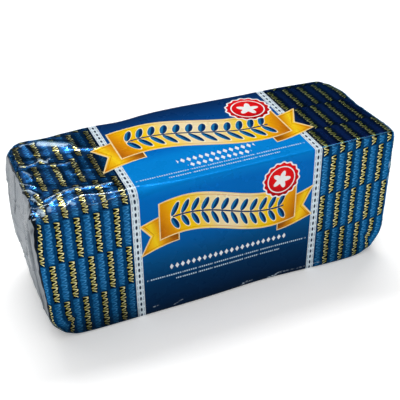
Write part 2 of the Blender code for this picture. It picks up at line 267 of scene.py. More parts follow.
def formed(box_points):
    """Turn points (n, 3) on the sharp-edged box into points on the soft block.

    Edges are rounded, each face bulges by a product of squares, and every swelling adds its
    push times a Gaussian of the distance to its centre.
    """
    x, y, z = box_points.T
    behind_edge = np.clip((SEAM_Y - y) / SEAM_STEP, 0.0, 1.0)
    recess = SEAM_RELIEF * behind_edge * smooth((y + SIDE_Y) / SEAM_FADE)
    points = np.array((x, y, np.where(z < 1e-6, recess, z) - HEIGHT / 2))
    round_all_edges(points)
    u, v, w = (points[axis] / HALF_SIZES[axis] for axis in range(3))
    points[0] -= np.sign(u) * END_BULGE * u * u * (0.6 * w * w + 0.4 * v * v)
    points[1] -= np.sign(v) * SIDE_BULGE * v * v * w * w
    points[2] -= TOP_BULGE * smooth(2.0 * w - 1.0) * (0.5 * v * v + 0.5 * u ** 4)
    points[2] += HEIGHT / 2
    for centre, reach, push in SWELLINGS:
        offsets = points - np.reshape(centre, (3, 1))
        points += np.reshape(push, (3, 1)) * np.exp(-np.sum(offsets ** 2, axis=0) / reach ** 2)
    return points.T + CENTRING


def upright_fullness(points):
    """How far the front-left upright stands out past the straight end, in metres."""
    out = np.zeros(len(points))
    for centre, reach, push in FULL_UPRIGHT:
        out -= push[0] * np.exp(-np.sum((points - centre) ** 2, axis=1) / reach ** 2)
    return out


def distance_to_line(a, b, line):
    """Distance from points (a, b) to the nearest stretch of a line through given places."""
    nearest = np.full(np.shape(a), np.inf)
    for start, stop in zip(line[:-1], line[1:]):
        run = np.subtract(stop, start)
        along = ((a - start[0]) * run[0] + (b - start[1]) * run[1]) / (run @ run)
        along = np.clip(along, 0.0, 1.0)
        nearest = np.minimum(nearest, np.hypot(a - start[0] - along * run[0],
                                               b - start[1] - along * run[1]))
    return nearest


def nearness(a, b, line, half_width):
    """1 on a line through given places, falling straight to 0 at a half width from it."""
    return np.clip(1.0 - distance_to_line(a, b, line) / half_width, 0.0, 1.0)


# --------------------------------------------------------------- unrolled sheet
CORNERS_DOWN = (-2 * HEIGHT - 2 * DEPTH + HEIGHT + SEAM_Y + SIDE_Y, -DEPTH - HEIGHT, -DEPTH,
                0.0, HEIGHT, HEIGHT + SEAM_Y + SIDE_Y)
CORNERS_Y = (SEAM_Y, SIDE_Y, SIDE_Y, -SIDE_Y, -SIDE_Y, SEAM_Y)
CORNERS_Z = (0.0, 0.0, HEIGHT, HEIGHT, 0.0, 0.0)

# Gaps between the mesh's rows: at an edge, their growth away from it, and the widest ones
EDGE_GAP, GAP_GROWTH = 0.00045, 0.07
SLACK_GAP, TIGHT_GAP, TIGHT_FROM = 0.00066, 0.0021, -0.058
ACROSS_GAP = 0.00075
UP_GAP, FOLDED_GAP, FOLDED_Z, FOLDED_REACH = 0.0026, 0.0013, 0.040, 0.011


def graded_cuts(low, high, spacing_at):
    """Places whose gaps follow a spacing: even steps of the running sum of one over it."""
    fine = np.linspace(low, high, 4001)
    rate = 1.0 / spacing_at(fine)
    total = np.concatenate([[0.0], np.cumsum(0.5 * (rate[1:] + rate[:-1]) * np.diff(fine))])
    steps = math.ceil(total[-1])
    return np.interp(np.linspace(0.0, total[-1], steps + 1), total, fine)


def graded_gap(to_edge, widest):
    """The gap at a distance from the nearest edge, up to the widest one."""
    return np.minimum(EDGE_GAP + GAP_GROWTH * to_edge, widest)


def cuts_along():
    """Rows along the block, close together over its slack left end."""
    return graded_cuts(-END_X, END_X, lambda x: graded_gap(
        END_X - np.abs(x), np.where(x < TIGHT_FROM, SLACK_GAP, TIGHT_GAP)))


def cuts_across():
    """Rows from front to back, two of them moved onto the step of the sheet's overlap."""
    cuts = graded_cuts(-SIDE_Y, SIDE_Y, lambda y: graded_gap(SIDE_Y - np.abs(y), ACROSS_GAP))
    for seam in (SEAM_Y, SEAM_Y - SEAM_STEP):
        cuts[np.argmin(np.abs(cuts - seam))] = seam
    return cuts


def cuts_up():
    """Rows up the block, closer where the folds of the ends run slantwise."""
    return graded_cuts(0.0, HEIGHT, lambda z: graded_gap(
        np.minimum(z, HEIGHT - z),
        np.where(np.abs(z - FOLDED_Z) < FOLDED_REACH, FOLDED_GAP, UP_GAP)))


def sleeve_patch(xs, ys, zs):
    """The sheet round the girth: rows along the block, columns round it from the seam."""
    down = np.concatenate([HEIGHT + SIDE_Y + ys[ys <= SEAM_Y], HEIGHT - zs, -SIDE_Y - ys,
                           zs - HEIGHT - DEPTH, ys[ys >= SEAM_Y] - SIDE_Y - DEPTH - HEIGHT])
    down = np.unique(np.round(down, 9))
    along, down = np.meshgrid(xs, down, indexing="ij")
    box = np.stack([along, np.interp(down, CORNERS_DOWN, CORNERS_Y),
                    np.interp(down, CORNERS_DOWN, CORNERS_Z)], axis=-1)
    return box, np.stack([along, down], axis=-1)


def print_places_on_end(end, y, z):
    """Where the sheet's print falls on an end: past the rim by the distance to it."""
    to_rims = np.stack([HEIGHT - z, y + SIDE_Y, SIDE_Y - y, z])
    under = np.where(y <= SEAM_Y, HEIGHT + y + SIDE_Y, y - SIDE_Y - DEPTH - HEIGHT)
    down = np.choose(np.argmin(to_rims, axis=0),
                     [-SIDE_Y - y, HEIGHT - z, z - HEIGHT - DEPTH, under])
    return np.stack([end * (END_X + to_rims.min(axis=0)), down], axis=-1)


def end_patch(end, ys, zs):
    """One end of the block: rows across it and columns up it."""
    y, z = np.meshgrid(ys, zs, indexing="ij")
    box = np.stack([np.full(y.shape, end * END_X), y, z], axis=-1)
    return box, print_places_on_end(end, y, z)


def grid_quads(shape, flip):
    """Quads between neighbours in a grid of points counted row by row."""
    number = np.arange(shape[0] * shape[1]).reshape(shape[:2])
    quads = np.stack([number[:-1, :-1], number[1:, :-1], number[1:, 1:], number[:-1, 1:]],
                     axis=-1).reshape(-1, 4)
    return quads[:, ::-1] if flip else quads


def welded_sheet():
    """The whole sheet on the sharp-edged box: the sleeve and both ends, as three grids.

    Points of the grids that coincide become one. Gives the points, the quads, each point's
    place on the print and the place of each corner of each quad.
    """
    xs, ys, zs = cuts_along(), cuts_across(), cuts_up()
    patches = [(*sleeve_patch(xs, ys, zs), True),
               (*end_patch(1.0, ys, zs), False), (*end_patch(-1.0, ys, zs), True)]
    quads, start = [], 0
    for box, _, flip in patches:
        quads.append(grid_quads(box.shape, flip) + start)
        start += box.shape[0] * box.shape[1]
    quads = np.concatenate(quads)
    box = np.concatenate([box.reshape(-1, 3) for box, _, _ in patches])
    places = np.concatenate([place.reshape(-1, 2) for _, place, _ in patches])
    _, first, same = np.unique(np.round(box, 7), axis=0, return_index=True,
                               return_inverse=True)
    return box[first], same.reshape(-1)[quads], places[first], places[quads]


# --------------------------------------------------------------- wrinkles
def lattice_noise(points, wavelength, seed):
    """Smooth noise from -1 to 1: random numbers on a cubic lattice, blended between."""
    table = np.random.default_rng(seed).uniform(-1.0, 1.0, (64, 64, 64))
    place = points / wavelength + 17.0
    cell = np.floor(place).astype(int)
    part = smooth(place - cell)
    total = np.zeros(len(points))
    for corner in np.ndindex(2, 2, 2):
        weight = np.prod(np.where(corner, part, 1.0 - part), axis=1)
        total += weight * table[tuple(((cell + corner) % 64).T)]
    return total


def creased_noise(points, wavelength, seed):
    """Noise with sharp crests: 1 less twice the size of smooth noise to the power 0.8."""
    return 1.0 - 2.0 * np.abs(lattice_noise(points, wavelength, seed)) ** 0.8


def faceted_noise(along, down, cell, seed):
    """Flat triangles with sharp edges: random heights on a warped lattice of half squares.

    Within each half square the height is the plane through its three corners' heights.
    """
    table = np.random.default_rng(seed).uniform(-1.0, 1.0, (64, 64))
    flat = np.stack([along, down, np.zeros_like(along)], axis=1)
    a = (0.80 * along + 0.60 * down) / cell + 0.45 * lattice_noise(flat, 1.7 * cell, seed + 1)
    b = (0.80 * down - 0.60 * along) / cell + 0.45 * lattice_noise(flat, 1.7 * cell, seed + 2)
    i, j = np.floor(a).astype(int), np.floor(b).astype(int)
    a, b = a - i, b - j
    low, high, right, left = (table[(i + m) % 64, (j + n) % 64]
                              for m, n in ((0, 0), (1, 1), (1, 0), (0, 1)))
    return np.where(a + b < 1.0, low + a * (right - low) + b * (left - low),
                    high + (1.0 - a) * (left - high) + (1.0 - b) * (right - high))


def slack_crumples(along, down):
    """The loose foil over the left end's top: flat crumples and the lip that sags in front.

    Both are full between S-curves along the block and S-curves round it.
    """
    along_slack = smooth((-58.0 - along) / 30.0) * smooth((along + END_MM + 12.0) / 10.0)
    round_slack = smooth((down + 100.0) / 14.0) * smooth((10.0 - down) / 12.0)
    lip = smooth((down + 16.0) / 14.0) * smooth((7.5 - down) / 5.5)
    return along_slack * round_slack * (LIP_HEIGHT * lip
                                        + 0.42 * faceted_noise(along, down, 11.0, 3)
                                        + 0.15 * faceted_noise(along, down, 5.0, 6))


def rim_gathers(points, along):
    """Sharp gathers along the rims of the ends, which fade over 5 mm to both sides."""
    near_rim = np.exp(-np.abs(np.abs(along) - END_MM) / 5.0)
    return near_rim * (0.26 * creased_noise(points, 0.010, 5)
                       + 0.08 * creased_noise(points, 0.004, 6))


def foot_gathers(points, down):
    """Sharp gathers drawn out along the front foot, under a Gaussian round it."""
    near_foot = np.exp(-((down - 98.0) / 4.0) ** 2)
    return near_foot * 0.34 * creased_noise(points * (1.0, 0.4, 0.4), 0.0050, 7)


def end_puckers(points, along):
    """Upright flat facets and fine ripples over an end, growing over 6 mm from its rim."""
    y, z = 1000.0 * points[:, 1], 1000.0 * points[:, 2]
    past_rim = np.maximum(np.abs(along) - END_MM, 0.0)
    return smooth(past_rim / 6.0) * (
        0.10 * lattice_noise(points * (0.3, 1.0, 0.16), 0.0035, 8)
        + 0.60 * faceted_noise(1.5 * y, 0.7 * z, 14.0, 9)
        + 0.18 * faceted_noise(1.3 * y, 0.7 * z, 5.0, 12))


def crease_heights(along, down):
    """The named creases, each its crest times the nearness to its line to the power 1.8.

    All of them rise from nothing over the 9 mm next to the top's back edge.
    """
    height = np.zeros(len(along))
    for line, crest, half_width, _ in CREASES:
        height += crest * nearness(along, down, line, half_width) ** 1.8
    return height * smooth((down + 91.0) / 9.0)


def wrinkle_height(points, along, down):
    """How far the foil stands off the smooth form, in metres, down to nothing on the floor."""
    height = 0.10 * lattice_noise(points, 0.045, 1) + 0.04 * lattice_noise(points, 0.016, 2)
    height += slack_crumples(along, down) + rim_gathers(points, along)
    height += foot_gathers(points, down) + end_puckers(points, along)
    height += crease_heights(along, down)
    return MM * height * smooth((points[:, 2] - 0.0002) / 0.0030)


def crease_wear_and_glint(along, down):
    """Wear and painted highlight along each crease, which fade straight down to both its
    sides.
    """
    wear = np.zeros(len(along))
    for line, _, _, wear_and_glint in CREASES:
        wear = np.maximum(wear, wear_and_glint * nearness(along, down, line, WEAR_AND_GLINT_REACH))
    return wear


def rubbed_ink_and_sheen(along, down):
    """How far the ink is rubbed thin, with a painted sheen: each patch falls off steeply at
    its rim.
    """
    rubbed = np.zeros(len(along))
    for line, half_width, strength in RUBBED_AND_SHEEN_PATCHES:
        near = nearness(along, down, line, half_width)
        rubbed = np.maximum(rubbed, strength * smooth(2.5 * near))
    return rubbed


def end_folds(end, points):
    """The height of the folds over an end and the painted shade of their grooves, from 0 to 1.

    A fold is its crest times the nearness to its line to the power 1.5. The right end has
    the same folds mirrored from front to back and a little higher up.
    """
    y, z = 1000.0 * points[:, 1], 1000.0 * points[:, 2]
    if end > 0:
        y, z = -y, z - RIGHT_FOLDS_RISE
    height, shade = np.zeros(len(y)), np.zeros(len(y))
    for line, crest, half_width in END_FOLDS:
        near = nearness(y, z, line, half_width) ** 1.5
        height += MM * crest * near
        if crest < 0.0:
            shade = np.maximum(shade, near)
    return height, shade


# --------------------------------------------------------------- meshes
def vertex_normals(points, quads):
    """The quads' normals, from the cross of their diagonals, summed at each point."""
    normals = np.cross(points[quads[:, 2]] - points[quads[:, 0]],
                       points[quads[:, 3]] - points[quads[:, 1]])
    total = np.zeros_like(points)
    for corner in range(4):
        np.add.at(total, quads[:, corner], normals)
    return total / np.maximum(np.linalg.norm(total, axis=1, keepdims=True), 1e-12)


def sheet_mesh(name, points, quads, print_places):
    """A mesh of quads whose UV map holds each corner's place on the unrolled sheet."""
    mesh = bpy.data.meshes.new(name)
    mesh.vertices.add(len(points))
    mesh.vertices.foreach_set("co", points.astype(np.float32).ravel())
    mesh.loops.add(quads.size)
    mesh.loops.foreach_set("vertex_index", quads.astype(np.int32).ravel())
    mesh.polygons.add(len(quads))
    mesh.polygons.foreach_set("loop_start", np.arange(0, quads.size, 4, dtype=np.int32))
    mesh.update(calc_edges=True)
    sheet = mesh.uv_layers.new(name="sheet")
    sheet.data.foreach_set("uv", print_places.astype(np.float32).ravel())
    mesh.shade_smooth()
    piece = bpy.data.objects.new(name, mesh)
    bpy.context.scene.collection.objects.link(piece)
    return piece


def point_numbers(piece, name, numbers):
    """Keep one number a point on the piece, for its material to read."""
    kept = piece.data.attributes.new(name, "FLOAT", "POINT")
    kept.data.foreach_set("value", numbers.astype(np.float32))


def relax_corner_tips(piece, box):
    """Smooth the mesh at the box's eight corners, where the rounding squeezes its grid.

    A point's weight falls from 1 to 0 in twentieths, as the greatest of its distances to
    the nearest faces across X, Y and Z grows from TIP_REACH by TIP_FADE.
    """
    gaps = np.stack([END_X - np.abs(box[:, 0]), SIDE_Y - np.abs(box[:, 1]),
                     HEIGHT / 2 - np.abs(box[:, 2] - HEIGHT / 2)])
    weights = 1.0 - smooth((gaps.max(axis=0) - TIP_REACH) / TIP_FADE)
    steps = np.round(20.0 * weights)
    tips = piece.vertex_groups.new(name="corner_tips")
    for step in range(1, 21):
        tips.add(np.nonzero(steps == step)[0].tolist(), step / 20.0, "REPLACE")
    relax = piece.modifiers.new("relax_tips", "SMOOTH")
    relax.factor, relax.iterations, relax.vertex_group = 0.5, 24, "corner_tips"


def wrapped_block():
    """The whole foil wrap as one closed mesh: the soft form, moved out by its wrinkles."""
    box, quads, places, corner_places = welded_sheet()
    points = formed(box)
    along, down = 1000.0 * places.T
    raised = wrinkle_height(points, along, down)
    # shade is painted shade for the grooves of the end folds
    shade = np.zeros(len(points))
    for end in (-1.0, 1.0):
        beyond = end * along > END_MM + 0.001
        fold, dark = end_folds(end, points[beyond])
        inner = smooth((end * along[beyond] - END_MM) / 5.0)
        raised[beyond] += fold * inner
        shade[beyond] = dark * inner
    points += vertex_normals(points, quads) * raised[:, None]
    points[:, 2] = np.maximum(points[:, 2], 0.0)
    piece = sheet_mesh("foil_wrap", points, quads, corner_places)
    # the creases' wear, which is also a painted highlight
    point_numbers(piece, "crease_wear_and_glint", crease_wear_and_glint(along, down))
    # the rubbed patches, which also carry a painted sheen
    point_numbers(piece, "rubbed_ink_and_sheen", rubbed_ink_and_sheen(along, down))
    point_numbers(piece, "fold_shade", shade)
    point_numbers(piece, "fullness", 1000.0 * upright_fullness(points))
    relax_corner_tips(piece, box)
    return piece


def flap_outline(upper):
    """A flap laid flat on an end, as grids: its fall, its place (y, z) and its half width.

    Across, it runs from one slanting fold to the other. Their half width shrinks with the
    fall, in small waves, until it meets the straight tongue, and the two are joined by the
    logarithm of the sum of their exponentials. The free edge is a little askew.
    """
    across, share = np.meshgrid(np.linspace(-1.0, 1.0, FLAP_ROWS),
                                np.linspace(0.0, 1.0, FLAP_ROWS), indexing="ij")
    fall = share * (HEIGHT - UPPER_FREE_EDGE if upper else LOWER_FREE_EDGE)
    slant = SIDE_Y - FLAP_INSET - fall / FLAP_SLOPE * (1.0 + 0.06 * np.sin(fall / 0.004))
    half = np.log(np.exp(slant / TONGUE_BEND)
                  + np.exp(TONGUE_HALF_WIDTH / TONGUE_BEND)) * TONGUE_BEND
    y = across * np.minimum(half, SIDE_Y - FLAP_INSET)
    fall = fall + share * FREE_EDGE_SKEW * (-y if upper else y)
    z = HEIGHT - fall if upper else fall
    return across, share, fall, half, y, z


def flap(name, end, upper, lift):
    """A thin sheet folded over one end, from a long edge to its own free edge.

    It stands off the end by its lift, with a bead along its folds, a raised free edge and
    flat puckers, and sinks into the wrap at its folds and at the rim of the block.
    """
    across, share, fall, half, y, z = flap_outline(upper)
    box = np.stack([np.full(y.shape, end * END_X), y, z], axis=-1).reshape(-1, 3)
    points = formed(box)
    quads = grid_quads(y.shape, (end < 0) != upper)
    from_fold = np.abs(1.0 - np.abs(across)).ravel() * half.ravel()
    rise = (smooth(fall / (UPPER_RISE if upper else LOWER_RISE)).ravel()
            * smooth((from_fold + 0.0004) / FOLD_RISE))
    bead = 0.30 * MM * np.exp(-((from_fold - 0.0016) / 0.0010) ** 2)
    free = 0.25 * MM * smooth((share.ravel() - 0.92) / 0.08)
    seed = 23 if end > 0 else 21
    sheet_y, sheet_z = 1000.0 * points[:, 1], 1000.0 * points[:, 2]
    puckers = MM * (0.40 + 0.30 * faceted_noise(1.5 * sheet_y, 0.7 * sheet_z, 13.0, seed)
                    + 0.10 * faceted_noise(1.4 * sheet_y, 0.7 * sheet_z, 5.0, seed + 3))
    under_it = 1000.0 * print_places_on_end(end, *box[:, 1:].T)
    stand_off = (wrinkle_height(points, *under_it.T) - FLAP_SINK
                 + rise * (lift + 0.35 * MM + bead + free + puckers))
    fold, shade = end_folds(end, points)
    stand_off += fold * np.where(fold > 0.0, rise, 1.0)
    points += vertex_normals(points, quads) * stand_off[:, None]
    places = np.stack([end * (END_X + fall), np.where(upper, -SIDE_Y - y, HEIGHT + y)],
                      axis=-1).reshape(-1, 2)
    piece = sheet_mesh(name, points, quads, places[quads])
    # painted shade along the flap's folds, joined with that of the grooves
    at_fold = np.exp(-(from_fold / 0.0011) ** 2) * smooth(fall.ravel() / 0.010)
    point_numbers(piece, "fold_shade", np.maximum(shade, 0.8 * at_fold))
    wall = piece.modifiers.new("foil_thickness", "SOLIDIFY")
    wall.thickness, wall.offset = FOIL, -1.0
    return piece


# --------------------------------------------------------------- print, as nodes
class Number:
    """A number at every point of the foil, worked out by maths nodes."""

    def __init__(self, tree, socket):
        self.tree, self.socket = tree, socket

    def worked(self, operation, *others):
        """What one maths node makes of this number and the others."""
        node = self.tree.nodes.new("ShaderNodeMath")
        node.operation = operation
        for slot, item in zip(node.inputs, (self, *others)):
            if isinstance(item, Number):
                self.tree.links.new(item.socket, slot)
            else:
                slot.default_value = item
        return Number(self.tree, node.outputs[0])

    def __add__(self, other):
        return self.worked("ADD", other)

    def __sub__(self, other):
        return self.worked("SUBTRACT", other)

    def __mul__(self, other):
        return self.worked("MULTIPLY", other)

    def __truediv__(self, other):
        return self.worked("DIVIDE", other)

    def size(self):
        return self.worked("ABSOLUTE")

    def upper(self, other):
        return self.worked("MAXIMUM", other)

    def whole(self):
        return self.worked("FLOOR")

    def part(self):
        return self.worked("FRACT")

    def root(self):
        return self.worked("SQRT")

    def sine(self):
        return self.worked("SINE")

    def cosine(self):
        return self.worked("COSINE")

    def inverse(self):
        """One less the number."""
        return self.worked("MULTIPLY_ADD", -1.0, 1.0)

    def under(self, limit, softness):
        """1 where the number is under the limit and 0 above, across a soft edge."""
        node = self.tree.nodes.new("ShaderNodeMapRange")
        node.interpolation_type = "SMOOTHSTEP"
        self.tree.links.new(self.socket, node.inputs["Value"])
        node.inputs["From Min"].default_value = limit - softness
        node.inputs["From Max"].default_value = limit + softness
        node.inputs["To Min"].default_value = 1.0
        node.inputs["To Max"].default_value = 0.0
        return Number(self.tree, node.outputs["Result"])

    def over(self, limit, softness):
        """1 where the number is over the limit and 0 below, across a soft edge."""
        return self.under(limit, softness).inverse()

    def line(self, middle, half_width, softness):
        """1 within a half width of a middle value."""
        return (self - middle).size().under(half_width, softness)


def attribute(tree, name):
    """A number kept at the points of a piece, or 0 on a piece without it."""
    node = tree.nodes.new("ShaderNodeAttribute")
    node.attribute_name = name
    return Number(tree, node.outputs["Fac"])


def noise(tree, coordinates, scale, detail=2.0):
    """Soft noise of a scale and number of octaves, mostly between 0.2 and 0.8."""
    node = tree.nodes.new("ShaderNodeTexNoise")
    tree.links.new(coordinates, node.inputs["Vector"])
    node.inputs["Scale"].default_value = scale
    node.inputs["Detail"].default_value = detail
    return Number(tree, node.outputs["Fac"])


def linear(colour):
    """A colour given as 0 to 255 display levels, as linear light."""
    levels = np.array(colour) / 255.0
    light = np.where(levels <= 0.04045, levels / 12.92, ((levels + 0.055) / 1.055) ** 2.4)
    return (*map(float, light), 1.0)


class Sheet:
    """A node tree with the two coordinates, in millimetres, that a print is laid out by."""

    def __init__(self, tree, along, down):
        self.tree, self.along, self.down = tree, along, down

    def ink(self, ground, colour, mask):
        """Lay a colour, or another field of colours, over a ground where the mask is 1."""
        node = self.tree.nodes.new("ShaderNodeMix")
        node.data_type = "RGBA"
        self.tree.links.new(mask.socket, node.inputs["Factor"])
        for slot, item in ((node.inputs["A"], ground), (node.inputs["B"], colour)):
            if isinstance(item, tuple):
                slot.default_value = linear(item)
            else:
                self.tree.links.new(item, slot)
        return node.outputs["Result"]

    def ramp(self, number, stops):
        """Colours that follow a number, given as (number, colour) stops in rising order."""
        low, high = stops[0][0], stops[-1][0]
        node = self.tree.nodes.new("ShaderNodeValToRGB")
        place = (number - low) / (high - low)
        self.tree.links.new(place.socket, node.inputs["Fac"])
        elements = node.color_ramp.elements
        while len(elements) > 1:
            elements.remove(elements[-1])
        for order, (at, colour) in enumerate(stops):
            element = elements[0] if order == 0 else elements.new((at - low) / (high - low))
            element.position = (at - low) / (high - low)
            element.color = linear(colour)
        return node.outputs["Color"]


def unrolled_sheet(tree):
    """The sheet with its own coordinates, from the UV map of the piece."""
    uv = tree.nodes.new("ShaderNodeUVMap")
    uv.uv_map = "sheet"
    split = tree.nodes.new("ShaderNodeSeparateXYZ")
    tree.links.new(uv.outputs["UV"], split.inputs[0])
    return Sheet(tree, Number(tree, split.outputs["X"]) * 1000.0,
                 Number(tree, split.outputs["Y"]) * 1000.0)


# Layout of the design, which runs over the top and down the front, in millimetres. What is
# on a sash is in its own units, which its scale makes millimetres.
BACK_EDGE_DOWN, FOOT_DOWN = -90.5, 100.0
BAND_MIDDLE, BAND_HALF_WIDTH, OPAQUE_HALF_LENGTH = 63.0, 2.68, 65.7
DASH_PITCH, RAIL_AWAY = 4.8, 1.85
COLUMNS_FROM, COLUMN_PITCH = 65.77, 6.07
ROWS_FROM, ROW_PITCH = 7.5, 30.45
CORD_MIDDLE, CORD_HALF_LENGTH, CORD_SWING, CORD_WAVE = 15.2, 14.35, 1.30, 2.75
SASHES = ((-50.0, 1.0), (31.0, 0.83))   # middle down the sheet and scale
SASH_WAVE, SASH_SWING, SEAL_ALONG, SEAL_DOWN = 150.0, 8.5, 44.0, -17.0
# Rows of lozenges: middle, half length, pitch and half height of a lozenge
LOZENGE_ROWS = ((-22.0, 27.0, 4.2, 2.6), (-15.5, 22.0, 4.2, 2.4), (63.5, 42.0, 3.9, 2.2))
STROKE_ROWS = ((-10.6, 58.0), (-6.8, 38.0), (70.4, 58.0), (74.2, 38.0))   # middle, half length

# Inks, as 0 to 255 display levels. A pair is the shaded and the lit side of a cord, and the
# bars lie behind the cords, the dark one behind the yellow.
PANEL_COLOURS = (
    (-90.5, (8, 40, 80)), (-80, (6, 52, 108)), (-60, (2, 76, 150)), (-42, (0, 104, 196)),
    (-30, (2, 134, 220)), (-2, (4, 136, 220)), (8, (0, 110, 198)), (30, (2, 104, 186)),
    (45, (2, 92, 164)), (56, (4, 78, 134)), (75, (4, 50, 92)), (90, (5, 38, 74)),
    (100, (8, 28, 52)),
)
TAIL_COLOURS = ((40, (104, 56, 4)), (50, (164, 92, 8)), (58, (236, 160, 12)),
                (63, (255, 214, 30)), (67, (250, 190, 16)), (76, (204, 118, 8)))
SASH_COLOURS = ((-6, (250, 232, 190)), (12, (248, 226, 170)), (22, (255, 218, 96)),
                (33, (255, 210, 20)), (41, (255, 203, 0)), (50, (238, 160, 6)),
                (58, (206, 120, 8)), (64, (168, 88, 6)))
SEAL_COLOURS = ((0, (244, 30, 30)), (9, (230, 14, 22)), (20, (176, 4, 14)))
BAND_WHITE, BAND_GREY, DASH_BLUE = (222, 236, 244), (166, 180, 194), (40, 58, 82)
PALE_GOLD, SEAL_WHITE = (250, 222, 160), (250, 250, 250)
TAIL_LINE, SASH_LINE = (206, 116, 10), (214, 132, 22)
LEAF_RIM, LEAF_BLUE, LEAF_LIT = (255, 246, 214), (0, 46, 98), (24, 116, 176)
LOZENGE_WHITE, STROKE_WHITE = (240, 246, 250), (190, 216, 236)
# The _TOP and _TOP_RIGHT inks are painted shade: the same inks darker and more violet on the
# top, the yellow greener
END_GROUND, END_GROUND_PAINTED_SHADE_TOP_RIGHT = (3, 54, 96), (18, 36, 78)
YELLOW_CORD = ((196, 184, 92), (246, 240, 178))
YELLOW_CORD_PAINTED_LIGHT_TOP_RIGHT = ((186, 200, 84), (250, 255, 176))
BLUE_CORD, BLUE_CORD_PAINTED_SHADE_TOP_RIGHT = ((40, 124, 186), (72, 152, 208)), (36, 72, 140)
BLUE_BAR, BLUE_BAR_PAINTED_SHADE_TOP, BLUE_BAR_PAINTED_SHADE_TOP_RIGHT = (20, 83, 132), (12, 68, 131), (32, 48, 116)
# CRISP_EDGE_HIGHLIGHT is a painted highlight: a light blue line along the crisp front top edge
DARK_BAR, CRISP_EDGE_HIGHLIGHT = (1, 5, 9), (96, 184, 232)
# DARK_MARGIN_AND_SHADE is a dark print margin past the cords that also paints the shade at the
# ends' rims
# FOOT_PAINTED_SHADE is painted shade over the print near the left end's front foot
DARK_MARGIN_AND_SHADE, FOOT_PAINTED_SHADE = (7, 14, 24), (14, 16, 20)
# BARE_GROOVE_SHADE is painted shade in the grooves and along the folds of the bare foil
BARE_FOIL, BARE_GROOVE_SHADE = (145, 151, 156), (54, 59, 66)
# WORN_INK_AND_GLINT and RUBBED_THIN_AND_SHEEN are pale worn ink that also paints highlights
# and sheen
WORN_INK_AND_GLINT, RUBBED_THIN_AND_SHEEN = (206, 224, 238), (196, 226, 252)
CLEAR_INK_TINT, BARE_TINT = (140, 213, 255), (230, 232, 235)   # of the shine, not the ink


def waved_cords(sheet):
    """Short waved cords in columns, yellow and blue by turns, on the ends of the sleeve.

    A cord is a sine line whose swing and wave change a little along it, so that no two waves
    are quite alike. The distance to it is the distance across it over the root of one plus
    its slope squared. Each cord lies on a darker bar, and both are cut off at its tips.
    """
    column = (sheet.along.size() - COLUMNS_FROM) / COLUMN_PITCH
    row = (sheet.down - ROWS_FROM) / ROW_PITCH
    across = (column.part() - 0.5) * COLUMN_PITCH
    up = row.part() * ROW_PITCH
    yellow = ((column.whole() + row.whole()) / 2.0).part().size().over(0.25, 0.01)
    blue = yellow.inverse()
    past_tip = ((up - CORD_MIDDLE).size() - CORD_HALF_LENGTH).upper(0.0)
    swing = (up * 0.83).sine() * 0.22 + (up * 1.91 + 0.6).sine() * 0.24 + CORD_SWING
    angle = up * (math.tau / CORD_WAVE) + (up * 1.13 + 1.0).sine() * 0.9
    slope = swing * angle.cosine() * (math.tau / CORD_WAVE)
    away = (across - swing * angle.sine()).size() / (slope * slope + 1.0).root()
    cord = (away + past_tip).under(0.28, 0.13)
    bar = ((across.size() - swing - 0.56).upper(0.0) + past_tip * 0.7).under(0.22, 0.20)
    # top and top_right_painted_light mask the painted shade of the top, where the same inks
    # turn darker
    top = sheet.down.line(-45.0, 45.0, 1.0)
    right = sheet.along.over(0.0, 1.0)
    top_right_painted_light = top * right
    lit = (across + (up * 2.1).sine() * 0.8).under(0.0, 0.9)
    colour = sheet.ink(END_GROUND, END_GROUND_PAINTED_SHADE_TOP_RIGHT, top_right_painted_light)
    colour = sheet.ink(colour, DARK_BAR, bar * yellow)
    blue_bar = sheet.ink(sheet.ink(BLUE_BAR, BLUE_BAR_PAINTED_SHADE_TOP, top), BLUE_BAR_PAINTED_SHADE_TOP_RIGHT, top_right_painted_light)
    colour = sheet.ink(colour, blue_bar, bar * blue)
    # painted highlight: a thin light blue line along the crisp front top edge, right of the
    # middle
    crisp_edge_highlight = sheet.down.line(-0.5, 0.4, 0.35) * right
    colour = sheet.ink(colour, CRISP_EDGE_HIGHLIGHT, crisp_edge_highlight * 0.8)
    yellow_cord = sheet.ink(sheet.ink(*YELLOW_CORD, lit),
                            sheet.ink(*YELLOW_CORD_PAINTED_LIGHT_TOP_RIGHT, lit), top_right_painted_light)
    colour = sheet.ink(colour, yellow_cord, cord * yellow)
    blue_cord = sheet.ink(sheet.ink(*BLUE_CORD, lit), BLUE_CORD_PAINTED_SHADE_TOP_RIGHT, top_right_painted_light)
    return sheet.ink(colour, blue_cord, cord * blue * 0.85)


def edge_bands(sheet, ground):
    """The white bands beside the panel, each with oval dashes between two broken rails."""
    across = sheet.along.size() - BAND_MIDDLE
    dash_place = ((sheet.down + 0.4) / DASH_PITCH).part() - 0.5
    dash = (across * across) / 0.50 + (dash_place * dash_place) / 0.105
    rail = ((across.size() - RAIL_AWAY).size() - 0.18).upper(0.0) * 4.0
    rail = rail + (dash_place.size() - 0.30).upper(0.0) * 8.0
    colour = sheet.ink(BAND_WHITE, BAND_GREY, rail.under(0.35, 0.25))
    colour = sheet.ink(colour, DASH_BLUE, dash.under(1.0, 0.2))
    return sheet.ink(ground, colour, across.size().under(BAND_HALF_WIDTH, 0.08))


